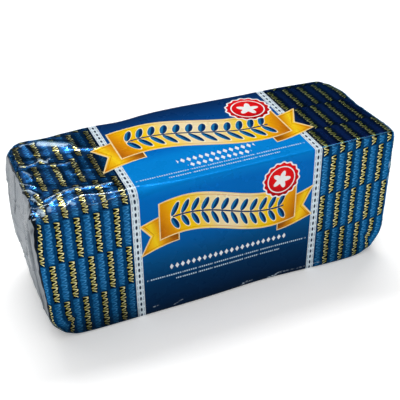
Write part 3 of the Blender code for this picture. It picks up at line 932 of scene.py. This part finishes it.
def sash_tails(sheet, ground, a, b):
    """Both folded tails of a sash, notched like a swallow's tail, and their whole mask.

    The notch makes a tail longer by 0.6 for each millimetre from its middle line.
    """
    root, tip, half_width, rim = 42.0, 73.5, 14.4, 0.9
    side, b = a.size(), b - 9.0
    reach = side + (b.size() * -1.0 + 13.5).upper(0.0) * 0.6
    whole = side.over(root, 0.12) * reach.under(tip, 0.15) * b.size().under(half_width, 0.12)
    inner = (side.over(root + 0.8, 0.12) * reach.under(tip - 1.2, 0.15)
             * b.size().under(half_width - rim, 0.12))
    lines = reach.line(tip - 2.9, 0.28, 0.1) + b.size().line(half_width - 2.4, 0.28, 0.1)
    colour = sheet.ink(ground, PALE_GOLD, whole)
    colour = sheet.ink(colour, sheet.ramp(side + b * 0.25, TAIL_COLOURS), inner)
    return sheet.ink(colour, TAIL_LINE, lines * inner * 0.8), whole


def sash_body(sheet, ground, a, b):
    """The front of a sash: gold in a pale rim, with a line inside both long edges."""
    half_length, half_width, rim = 58.2, 17.0, 1.0
    side = a.size()
    outline = b.size().under(half_width, 0.12) * side.under(half_length, 0.12)
    inner = b.size().under(half_width - rim, 0.12) * side.under(half_length - rim, 0.12)
    lines = b.size().line(half_width - 2.5, 0.26, 0.1)
    colour = sheet.ink(ground, PALE_GOLD, outline)
    colour = sheet.ink(colour, sheet.ramp(side + b * 0.35, SASH_COLOURS), inner)
    return sheet.ink(colour, SASH_LINE, lines * inner * 0.7)


def leaf_sprig(sheet, ground, a, b):
    """A stem along the sash with leaning oval leaves standing off it in pairs."""
    pitch, half_leaf, half_length, lean = 8.2, 2.5, 5.8, 0.42
    up_leaf = b.size() - 6.4
    across_leaf = ((a + 49.2) / pitch).part() * pitch - pitch / 2.0 - up_leaf * lean
    leaf = ((across_leaf * across_leaf) / half_leaf ** 2
            + (up_leaf * up_leaf) / half_length ** 2)
    in_run = a.size().under(49.0, 0.2)
    colour = sheet.ink(ground, LEAF_RIM, leaf.under(1.30, 0.1) * in_run)
    colour = sheet.ink(colour, LEAF_BLUE, leaf.under(0.95, 0.1) * in_run)
    lit = leaf.under(0.80, 0.15) * (across_leaf + 0.2).under(0.0, 0.5)
    colour = sheet.ink(colour, LEAF_LIT, lit * in_run)
    stem = b.size().under(0.7, 0.1) * a.size().under(47.0, 0.2)
    return sheet.ink(colour, LEAF_BLUE, stem)


def scalloped_seal(sheet, ground, a, b):
    """A red seal on white, with a ring and a soft star of five points.

    Scallops and points are a sine of the angle round the middle, taken from the radius.
    """
    radius = (a * a + b * b).root()
    turn = b.worked("ARCTAN2", a)
    scallop = radius - (turn * 16.0).sine() * 0.55
    star = radius - (turn * 5.0 + 1.57).sine() * 2.0
    marks = radius.line(11.6, 0.45, 0.1).upper(star.under(6.0, 0.12))
    colour = sheet.ink(ground, SEAL_WHITE, scallop.under(16.0, 0.12))
    red = sheet.ramp(radius + b * 0.5, SEAL_COLOURS)
    colour = sheet.ink(colour, red, scallop.under(14.7, 0.12))
    return sheet.ink(colour, SEAL_WHITE, marks)


def sash(sheet, ground, middle_down, scale):
    """A gold sash that follows a sine wave, with its sprig and seal, and its tails' mask."""
    a = sheet.along / scale
    b = (sheet.down - middle_down) / scale
    waved_b = b - (a * (math.tau / SASH_WAVE)).sine() * SASH_SWING
    colour, tails = sash_tails(sheet, ground, a, waved_b)
    colour = sash_body(sheet, colour, a, waved_b)
    colour = leaf_sprig(sheet, colour, a, waved_b)
    return scalloped_seal(sheet, colour, a - SEAL_ALONG, b - SEAL_DOWN), tails


def lozenge_row(sheet, ground, middle_down, half_length, pitch, half_height):
    """A row of small white lozenges."""
    inside = sheet.along.size().under(half_length, 0.1)
    place = ((sheet.along / pitch).part() - 0.5) * pitch
    lozenge = place.size() / (0.36 * pitch) + (sheet.down - middle_down).size() / half_height
    return sheet.ink(ground, LOZENGE_WHITE, lozenge.under(1.0, 0.12) * inside)


def stroke_row(sheet, ground, middle_down, half_length):
    """A thin line of short strokes, with wider gaps between groups of them."""
    stroke = ((sheet.along / 1.55).part() - 0.5).size().under(0.33, 0.06)
    group = ((sheet.along / 11.3).part() - 0.5).size().under(0.46, 0.01)
    mask = (sheet.down.line(middle_down, 0.55, 0.1)
            * sheet.along.size().under(half_length, 0.1) * stroke * group)
    return sheet.ink(ground, STROKE_WHITE, mask)


def design_sheet(whole):
    """The sheet with the design's own coordinates, which begin again past the back edge.

    The back and the underside so repeat the top and the front.
    """
    past_edge = whole.down.under(BACK_EDGE_DOWN, 0.001)
    return Sheet(whole.tree, whole.along,
                 whole.down + past_edge * (FOOT_DOWN - BACK_EDGE_DOWN))


def panel_print(design, ends):
    """The blue panel, its bands and all that is on it, laid over the print of the ends.

    Gives the colour and the mask of the opaque inks.
    """
    side = design.along.size()
    panel = design.ramp(design.down, PANEL_COLOURS)
    colour = edge_bands(design, design.ink(ends, panel, side.under(BAND_MIDDLE, 0.05)))
    opaque = side.under(OPAQUE_HALF_LENGTH, 0.05)
    for place in SASHES:
        colour, tails = sash(design, colour, *place)
        opaque = opaque.upper(tails)
    for row in LOZENGE_ROWS:
        colour = lozenge_row(design, colour, *row)
    for row in STROKE_ROWS:
        colour = stroke_row(design, colour, *row)
    return colour, opaque


def end_print(whole):
    """The cords towards the ends and the dark margin past them, with the margin's mask.

    The full upright has more foil on it, so its cords lie nearer to the block's middle.
    """
    pulled = Sheet(whole.tree, whole.along - attribute(whole.tree, "fullness"), whole.down)
    past_cords = pulled.along.size().over(END_MM + 2.4, 0.4)
    # the margin is dark print, and painted shade at the rim as well
    margin = whole.along.size().over(END_MM + 0.6, 0.4).upper(past_cords)
    return whole.ink(waved_cords(pulled), DARK_MARGIN_AND_SHADE, margin), margin


def bare_mask(design):
    """1 on the bare foil past the print, whose edge is a ragged sum of two sines."""
    ragged = (design.down * 0.23).sine() * 0.7 + (design.down * 0.67 + 1.0).sine() * 0.4
    return (design.along.size() + ragged).over(END_MM + 2.6, 0.15)


def wear_rubbing_and_sheen(tree, place):
    """How far the ink is off, with painted highlight: patchy streaks on creases, mottled where
    rubbed.
    """
    mottling = tree.nodes.new("ShaderNodeMapping")
    tree.links.new(place, mottling.inputs["Vector"])
    mottling.inputs["Location"].default_value = MOTTLE_SHIFT
    mottling.inputs["Scale"].default_value = MOTTLE_STRETCH
    place = mottling.outputs["Vector"]
    patchy = noise(tree, place, 130.0).over(0.52, 0.14)
    wear_and_glint = attribute(tree, "crease_wear_and_glint").over(0.42, 0.16) * patchy * 0.9
    mottled = noise(tree, place, 330.0, 3.0).over(0.50, 0.16) * 0.50 + 0.45
    return wear_and_glint, mottled * attribute(tree, "rubbed_ink_and_sheen")


def foil_grain(tree, place):
    """The bump of the foil's fine grain."""
    bump = tree.nodes.new("ShaderNodeBump")
    bump.inputs["Strength"].default_value = 0.07
    bump.inputs["Distance"].default_value = 0.0006
    tree.links.new(noise(tree, place, 260.0, 3.0).socket, bump.inputs["Height"])
    return bump.outputs["Normal"]


def foil_material():
    """Printed foil: clear inks on bright metal at the ends, opaque inks on the panel."""
    material = bpy.data.materials.new("printed_foil")
    material.use_nodes = True
    tree = material.node_tree
    place = tree.nodes.new("ShaderNodeTexCoord").outputs["Object"]
    whole = unrolled_sheet(tree)
    design = design_sheet(whole)
    ends, margin = end_print(whole)
    colour, opaque = panel_print(design, ends)
    # painted shade: the print of the left end darkens towards its front foot
    foot_shade = whole.down.line(101.0, 9.0, 8.0) * whole.along.under(-64.5, 2.5)
    colour = whole.ink(colour, FOOT_PAINTED_SHADE, foot_shade * 0.72)
    bare = bare_mask(design)
    # painted shade in the grooves and along the flaps' folds of the bare foil
    bare_colour = whole.ink(BARE_FOIL, BARE_GROOVE_SHADE, attribute(tree, "fold_shade") * 0.85)
    colour = whole.ink(colour, bare_colour, bare)
    # pale ink on creases and rubbed patches: part real wear, part painted highlight and sheen
    wear_and_glint, rubbed = wear_rubbing_and_sheen(tree, place)
    colour = whole.ink(whole.ink(colour, RUBBED_THIN_AND_SHEEN, rubbed), WORN_INK_AND_GLINT, wear_and_glint)
    metal = (opaque.upper(margin) * 0.86).inverse().upper(bare)
    metal = metal * wear_and_glint.inverse() * rubbed.inverse()
    slack = whole.along.under(-66.0, 5.0) * whole.down.line(-45.0, 50.0, 3.0)
    rough = noise(tree, place, 60.0, 4.0) * 0.16 + slack.inverse() * 0.06 + 0.14
    coat = slack * opaque.inverse() * bare.inverse() * 0.16 + 0.02
    shader = tree.nodes["Principled BSDF"]
    for name, socket in (
            ("Base Color", colour), ("Metallic", metal.socket),
            ("Roughness", (rough + bare * 0.03).socket), ("Coat Weight", coat.socket),
            ("Specular Tint", whole.ink(CLEAR_INK_TINT, BARE_TINT, bare)),
            ("Normal", foil_grain(tree, place))):
        tree.links.new(socket, shader.inputs[name])
    shader.inputs["Coat Roughness"].default_value = 0.08
    shader.inputs["Specular IOR Level"].default_value = 0.03
    return material


# --------------------------------------------------------------- surroundings
FLOOR_SIZE, FLOOR_GLOW = 40.0, 0.24


def floor():
    """A plain pale floor, as one large square, with a faint glow that pales the shadow."""
    half = FLOOR_SIZE / 2
    mesh = bpy.data.meshes.new("floor")
    mesh.from_pydata([(-half, -half, 0.0), (half, -half, 0.0), (half, half, 0.0),
                      (-half, half, 0.0)], [], [(0, 1, 2, 3)])
    material = bpy.data.materials.new("pale_floor")
    material.use_nodes = True
    tree = material.node_tree
    shader = tree.nodes["Principled BSDF"]
    shader.inputs["Base Color"].default_value = (0.96, 0.96, 0.96, 1.0)
    shader.inputs["Roughness"].default_value = 0.9
    shader.inputs["Specular IOR Level"].default_value = 0.1
    path = tree.nodes.new("ShaderNodeLightPath")
    glow = Number(tree, path.outputs["Is Camera Ray"]) * FLOOR_GLOW
    tree.links.new(glow.socket, shader.inputs["Emission Strength"])
    mesh.materials.append(material)
    piece = bpy.data.objects.new("floor", mesh)
    bpy.context.scene.collection.objects.link(piece)
    return piece


# Soft lights round the room, in degrees: azimuth from +Y towards +X, elevation, half width,
# half height, softness of the edge, and then radiance
SOFTBOXES = (
    (23.0, 64.0, 17.0, 1.3, 0.5, 55.0),
    (6.0, 51.0, 17.0, 3.0, 1.0, 3.6),
    (0.0, 88.0, 26.0, 26.0, 6.0, 1.6),
    (-22.0, 38.0, 24.0, 14.0, 8.0, 1.5),
    (195.0, 38.0, 44.0, 26.0, 12.0, 0.98),
)


def softbox(direction, azimuth, elevation, half_width, half_height, softness, radiance):
    """The light of a rectangle in the sky, from how far a direction leans across and up.

    The leans are the tangents of the angles from the rectangle's middle.
    """
    turn, rise = math.radians(azimuth), math.radians(elevation)
    ahead = (math.sin(turn) * math.cos(rise), math.cos(turn) * math.cos(rise), math.sin(rise))
    aside = (math.cos(turn), -math.sin(turn), 0.0)
    over = tuple(Vector(aside).cross(Vector(ahead)))
    depth, across, upward = (direction[0] * axis[0] + direction[1] * axis[1]
                             + direction[2] * axis[2] for axis in (ahead, aside, over))
    depth = depth.upper(0.001)
    inside = 1.0
    for lean, half in ((across, half_width), (upward, half_height)):
        limit = math.tan(math.radians(half))
        soft = math.tan(math.radians(softness))
        inside = (lean / depth).size().under(limit, soft) * inside
    return inside * radiance


def world():
    """A dim studio room, brighter low down, with the soft lights, and pale to the camera."""
    room = bpy.data.worlds.new("studio")
    bpy.context.scene.world = room
    room.use_nodes = True
    tree = room.node_tree
    tree.nodes.clear()
    out = tree.nodes.new("ShaderNodeOutputWorld")
    way = tree.nodes.new("ShaderNodeTexCoord")
    split = tree.nodes.new("ShaderNodeSeparateXYZ")
    tree.links.new(way.outputs["Generated"], split.inputs[0])
    east, north, up = (Number(tree, split.outputs[axis]) for axis in "XYZ")
    strength = up.under(0.12, 0.14) * 0.40 + 0.10
    for box in SOFTBOXES:
        strength = strength + softbox((east, north, up), *box)
    light = tree.nodes.new("ShaderNodeBackground")
    tree.links.new(strength.socket, light.inputs["Strength"])
    seen = tree.nodes.new("ShaderNodeBackground")
    seen.inputs["Color"].default_value = (0.95, 0.95, 0.95, 1.0)
    path = tree.nodes.new("ShaderNodeLightPath")
    mix = tree.nodes.new("ShaderNodeMixShader")
    tree.links.new(path.outputs["Is Camera Ray"], mix.inputs["Fac"])
    tree.links.new(light.outputs[0], mix.inputs[1])
    tree.links.new(seen.outputs[0], mix.inputs[2])
    tree.links.new(mix.outputs[0], out.inputs["Surface"])


# The photograph's camera: its place, the heading from +Y towards +X, the downward tilt and
# the roll in radians, and its focal length in pixels of a frame of 400
CAMERA_PLACE = (-0.18232, -0.43355, 0.37507)
HEADING, TILT, ROLL = 0.3971, 0.6057, -0.0091
FOCAL_PIXELS, FRAME_PIXELS, SENSOR = 824.45, 400.0, 36.0


def camera():
    """The photograph's camera, from the directions ahead of it, to its right and over it."""
    heading, tilt, roll = HEADING, TILT, ROLL
    ahead = Vector((math.sin(heading) * math.cos(tilt), math.cos(heading) * math.cos(tilt),
                    -math.sin(tilt)))
    right = Vector((math.cos(heading), -math.sin(heading), 0.0))
    up = right.cross(ahead)
    turned_right = right * math.cos(roll) + up * math.sin(roll)
    turned_up = -right * math.sin(roll) + up * math.cos(roll)
    data = bpy.data.cameras.new("camera")
    data.lens = FOCAL_PIXELS / FRAME_PIXELS * SENSOR
    data.sensor_width, data.sensor_fit = SENSOR, "HORIZONTAL"
    data.clip_start, data.clip_end = 0.01, 100.0
    eye = bpy.data.objects.new("camera", data)
    columns = Matrix((turned_right, turned_up, -ahead)).transposed()
    eye.matrix_world = Matrix.Translation(CAMERA_PLACE) @ columns.to_4x4()
    bpy.context.scene.collection.objects.link(eye)
    bpy.context.scene.camera = eye


# --------------------------------------------------------------- the object
foil = foil_material()
wrap = wrapped_block()
pieces = [wrap]
for end, side in ((-1.0, "left"), (1.0, "right")):
    pieces.append(flap(side + "_lower_flap", end, False, 0.0003))
    pieces.append(flap(side + "_upper_flap", end, True, 0.0007))
for piece in pieces:
    piece.data.materials.append(foil)
    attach(piece, "root")
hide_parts("foil_wrapped_block")

ground = floor()
world()
camera()
bpy.context.scene.view_settings.view_transform = "Standard"

bpy.context.view_layer.update()
